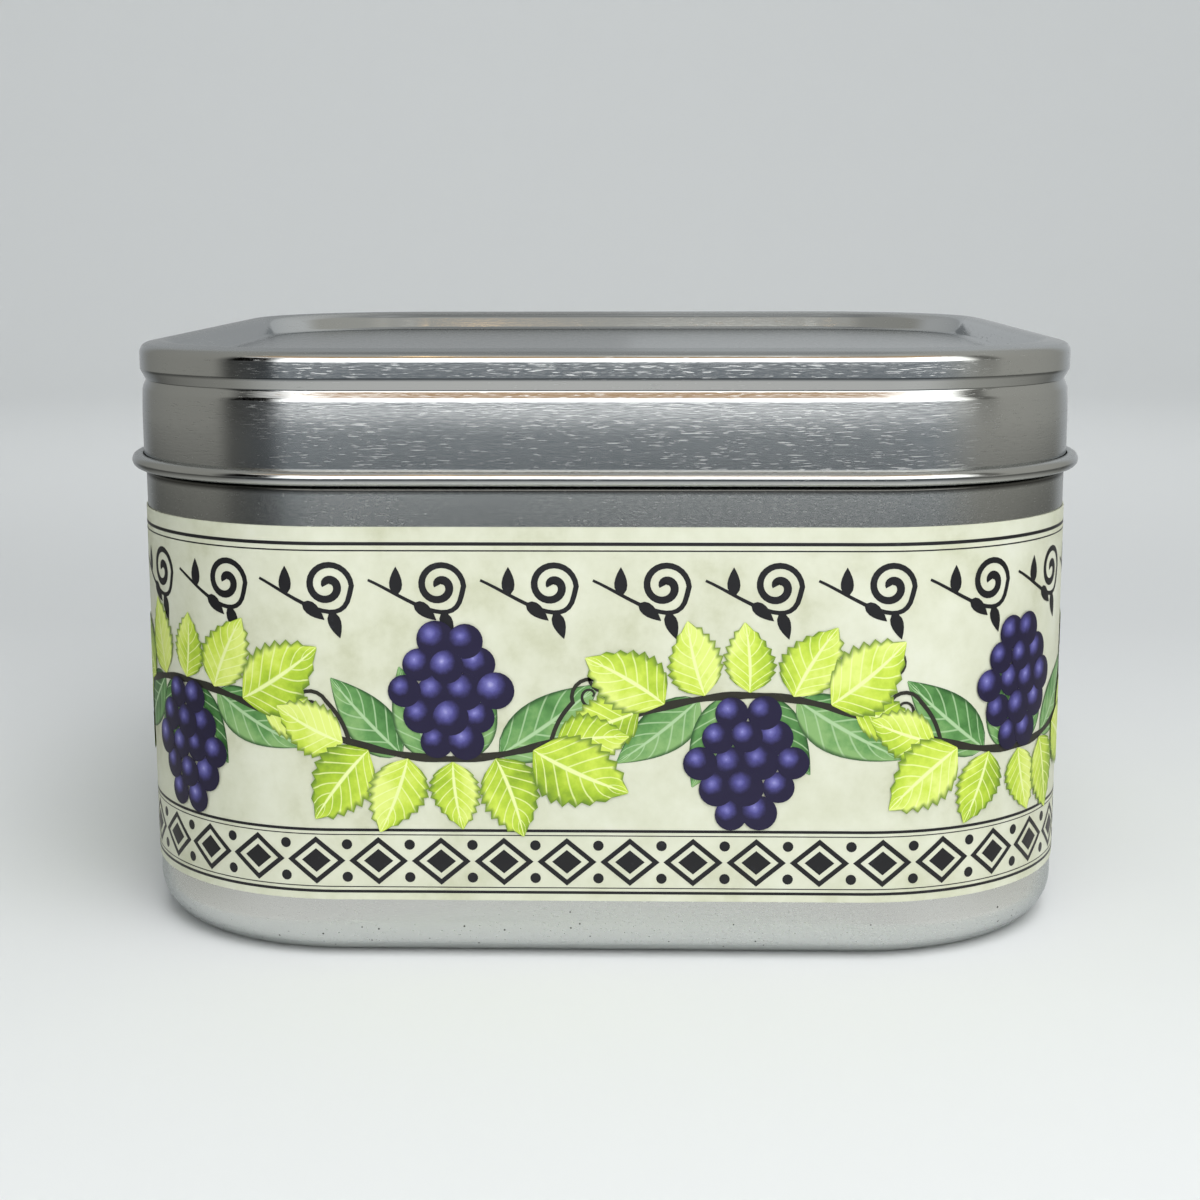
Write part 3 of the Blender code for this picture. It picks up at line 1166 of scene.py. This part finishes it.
# %% [markdown]
# ## What the metal mirrors
# Polished metal looks like whatever stands round it. In a bare white studio it would look like
# white card. A room gives it its depth: a bright window behind the viewer, a dim wall below it, a warm
# ceiling light, duller walls at the sides, and a table that gets darker away from the tin. Here that
# room is a shell of glowing card round the table. Only mirror rays see it, so it lights nothing and
# never shows.

# %% Shape the room of cards
TABLE_HOLE = 0.066
ROOM_RADIUS = 0.20
ROOM_HEIGHT = 0.26
CARD_GAP = 0.5 * MM

room_line = [
    (TABLE_HOLE, 0.0, CARD_GAP),
    (ROOM_RADIUS, 0.0, CARD_GAP),
    (ROOM_RADIUS, 0.0, ROOM_HEIGHT),
    (0.0, 0.0, ROOM_HEIGHT),
]
room = revolve("mirrored_room", room_line, 64)
for ray in ("camera", "diffuse", "shadow", "transmission", "volume_scatter"):
    setattr(room, "visible_" + ray, False)
print("room of cards:", ROOM_RADIUS * 2, "m across")

# %% [markdown]
# ## Bearing and rise
# Every card is painted by two angles: the bearing, how far round from the front it stands, and the
# rise, how high it stands as seen from the lid. The rise runs from the table by the tin, at minus 42
# degrees, to straight overhead.

# %% Find the bearing and the rise
LOWEST_RISE = -42
HIGHEST_RISE = 90
EYE_HEIGHT = 57.0 * MM

room_card, tree, _ = new_material("room_cards")
tree.nodes.clear()
axes = split(tree, object_place(tree))
bearing = work_out(tree, "ARCTAN2", axes["X"], work_out(tree, "MULTIPLY", axes["Y"], -1.0))
off_front = work_out(tree, "ABSOLUTE", bearing)
above = work_out(tree, "SUBTRACT", axes["Z"], EYE_HEIGHT)
rise = work_out(tree, "ARCTAN2", above, distance(tree, axes["X"], axes["Y"]))
rise_share = span(tree, rise, radians(LOWEST_RISE), radians(HIGHEST_RISE), kind="LINEAR")
print("cards: painted from", LOWEST_RISE, "to", HIGHEST_RISE, "degrees")

# %% [markdown]
# ## Painting the cards
# Three columns of colour, read from the table up to the ceiling, stand for the front, the sides and
# the back, and blend into each other by bearing.

# %% Paint the front, the sides and the back


def card_column(stops):
    """A column of colours, from pairs of rise in degrees and hex colour."""
    full = HIGHEST_RISE - LOWEST_RISE
    return ramp(tree, rise_share, [((height - LOWEST_RISE) / full, colour) for height, colour in stops])


def beyond(start, end, measure):
    """0 before the first angle, in degrees, 1 after the second, smooth in between."""
    return span(tree, measure, radians(start), radians(end))


front_card = card_column([
    (-42, "#eeeeec"), (-35, "#e2e2e0"), (-29, "#d6d7d5"), (-22, "#9a9d9f"), (-14, "#484c50"),
    (-8.5, "#4b5055"), (-4.5, "#949ba1"), (-1.8, "#858b91"), (0.2, "#8f969d"), (2.2, "#ffffff"),
    (31, "#ffffff"), (34, "#cfa67a"), (40, "#ecc795"), (46, "#c9b7a0"), (50, "#c4c2bc"), (62, "#c2c3c0"),
    (74, "#8f9192"), (90, "#b4b6b6"),
])
side_card = card_column([
    (-42, "#dadad6"), (-34, "#b4b4ae"), (-22, "#8a8984"), (-14, "#5c5c59"), (-8.5, "#5c5c59"),
    (-4.5, "#a09f99"), (20, "#a3a29c"), (60, "#a8a8a4"), (74, "#8f9192"), (90, "#b4b6b6"),
])
back_card = card_column([
    (-42, "#c4c5c4"), (-15, "#a9abab"), (0, "#c2c4c5"), (30, "#c2c4c5"), (50, "#b8b9b8"),
    (74, "#8f9192"), (90, "#b4b6b6"),
])
front_to_side = mixed(tree, beyond(34, 62, off_front), front_card, side_card)
all_round = mixed(tree, beyond(112, 135, off_front), front_to_side, back_card)

# %% [markdown]
# ## The window and the gaps beside it
# The window is brighter than white card can be, so its strength is raised. Beside it the wall is in
# shadow: a deep gap on the left, darkest high up, and a slight one on the right. They give the round
# corners of the lid their dark streaks. Further round to the right the wall is a little brighter.

# %% Open the window and the gaps
WINDOW_LIFT = 2.0
RIGHT_LIFT = 1.3


def gap(centre, inner, outer, depth):
    """A dark gap at a bearing in degrees: 1 outside it, and down to its depth in the middle."""
    away = work_out(tree, "ABSOLUTE", work_out(tree, "SUBTRACT", bearing, radians(centre)))
    return span(tree, away, radians(inner), radians(outer), depth)


def outside(mask):
    """What a mask leaves out."""
    return work_out(tree, "SUBTRACT", 1.0, mask)


window_rows = work_out(tree, "MULTIPLY", beyond(0.2, 2.2, rise), outside(beyond(31, 34, rise)))
window = work_out(tree, "MULTIPLY", window_rows, outside(beyond(50, 60, off_front)))
brightness = work_out(tree, "MULTIPLY_ADD", window, WINDOW_LIFT, 1.0)
left_depth = span(tree, rise, radians(-6), radians(4), 0.45, 0.0, "LINEAR")
right_depth = span(tree, rise, radians(-4), radians(4), 1.0, 0.4, "LINEAR")
gaps = work_out(tree, "MULTIPLY", gap(-46.5, 7, 17, left_depth), gap(61, 2, 9, right_depth))
no_gap = work_out(tree, "MAXIMUM", outside(beyond(-20, -12, rise)), beyond(24, 36, rise))
shaded = work_out(tree, "MAXIMUM", gaps, no_gap)
right_lift = span(tree, bearing, radians(28), radians(58), 1.0, RIGHT_LIFT, "LINEAR")
strength = work_out(tree, "MULTIPLY", brightness, work_out(tree, "MULTIPLY", shaded, right_lift))

# %% [markdown]
# ## A row of ceiling lamps
# Small lamps stand in a row over the viewer's head. The far wall of the lid's rim mirrors them as soft
# spots, a warm one on the left and paler ones along the middle.

# %% Hang the lamps
LAMP_ROW = -0.161
LAMP_SPREAD = 0.06
LAMP_EDGE = 0.018
LAMP_CORE = 0.007
LAMP_POWER = 3.0

lamp_colours = [
    (0.10, "#000000"), (0.13, "#ffcf8c"), (0.165, "#ffcf8c"), (0.195, "#000000"),
    (0.23, "#5a4632"), (0.30, "#8c7454"), (0.36, "#54483c"), (0.42, "#1c1c1c"),
    (0.51, "#6a6a68"), (0.56, "#a8a8a4"), (0.60, "#5c5c5a"), (0.65, "#b0b0ae"),
    (0.71, "#6e6e6c"), (0.77, "#b8b8b6"), (0.82, "#8c8c8a"), (0.88, "#000000"),
]
along_row = span(tree, axes["X"], -LAMP_SPREAD, LAMP_SPREAD, kind="LINEAR")
lamps = ramp(tree, along_row, lamp_colours)
off_row = work_out(tree, "ABSOLUTE", work_out(tree, "SUBTRACT", axes["Y"], LAMP_ROW))
row = span(tree, off_row, LAMP_EDGE, LAMP_CORE, kind="LINEAR")
overhead = work_out(tree, "GREATER_THAN", axes["Z"], ROOM_HEIGHT - 0.01)
lamp_power = work_out(tree, "MULTIPLY", work_out(tree, "MULTIPLY", row, overhead), LAMP_POWER)

# %% [markdown]
# ## Glow
# Cards and lamps give light of their own, so they are emission, not a reflecting surface. The lamps
# hang in front of the ceiling card, so the two glows are added.

# %% Let the cards and the lamps glow
card_glow = add(tree, "ShaderNodeEmission", {}, {"Color": all_round, "Strength": strength}).outputs[0]
lamp_glow = add(tree, "ShaderNodeEmission", {}, {"Color": lamps, "Strength": lamp_power}).outputs[0]
all_glow = add(tree, "ShaderNodeAddShader", {}, {0: card_glow, 1: lamp_glow}).outputs[0]
add(tree, "ShaderNodeOutputMaterial", {}, {"Surface": all_glow})
room.data.materials.append(room_card)
print("room cards:", len(tree.nodes), "nodes")

# %% [markdown]
# ## Light
# The light is plain and soft: a pale sky all round, a soft light over the table, another behind the
# viewer, a little to the right, which lights the label, and a third that lights only the backdrop.
# Mirror rays don't see the lights, because the room of cards already stands for them.

# %% Set the lights


def soft_light(name, place, aim, size, power):
    """A large square light at a place, turned to a point."""
    deselect()
    bpy.ops.object.light_add(type="AREA", location=place)
    lamp = bpy.context.active_object
    lamp.name = name
    lamp.data.name = name
    lamp.data.size = size
    lamp.data.energy = power
    lamp.rotation_euler = (Vector(aim) - Vector(place)).to_track_quat("-Z", "Y").to_euler()
    lamp.visible_glossy = False
    return lamp


soft_light("overhead_light", (0.11, -0.28, 0.50), (0.0, -0.08, 0.0), 0.40, 1.85)
soft_light("viewer_light", (0.16, -0.60, 0.30), (0.0, 0.0, 0.03), 0.45, 1.9)
soft_light("backdrop_light", (0.0, 0.35, 0.60), (0.0, 1.20, 0.30), 0.60, 1.9)

world = bpy.data.worlds.new("soft_sky")
bpy.context.scene.world = world
world.use_nodes = True
sky = world.node_tree.nodes["Background"]
give(world.node_tree, sky, {"Color": linear("#f2f5f7"), "Strength": 0.47})
bpy.context.scene.view_settings.view_transform = "Standard"
print("lights: 3 and the sky")

# %% [markdown]
# ## The camera
# The picture was taken from close by, a little above the lid, with the lens tipped down by ten
# degrees. That is why the upright sides lean together towards the bottom. The lens and the place
# were worked out from the tin's own outlines.

# %% Place the camera
TIP_DOWN = 0.1753
TURN_LEFT = 0.0275
ROLL = -0.0022
CAMERA_PLACE = (5.893 * MM, -256.81 * MM, 74.73 * MM)
SENSOR_WIDTH = 36.0
FOCAL_LENGTH = 62.19

deselect()
bpy.ops.object.camera_add(location=CAMERA_PLACE)
camera = bpy.context.active_object
camera.name = "viewer"
turned = (
    Matrix.Rotation(TURN_LEFT, 3, "Z")
    @ Matrix.Rotation(radians(90) - TIP_DOWN, 3, "X")
    @ Matrix.Rotation(ROLL, 3, "Z")
)
camera.rotation_euler = turned.to_euler()
camera.data.sensor_width = SENSOR_WIDTH
camera.data.lens = FOCAL_LENGTH
camera.data.clip_start = 0.01
camera.data.clip_end = 20.0
bpy.context.scene.camera = camera
print("camera:", round(camera.data.angle * 180 / pi, 1), "degrees wide")
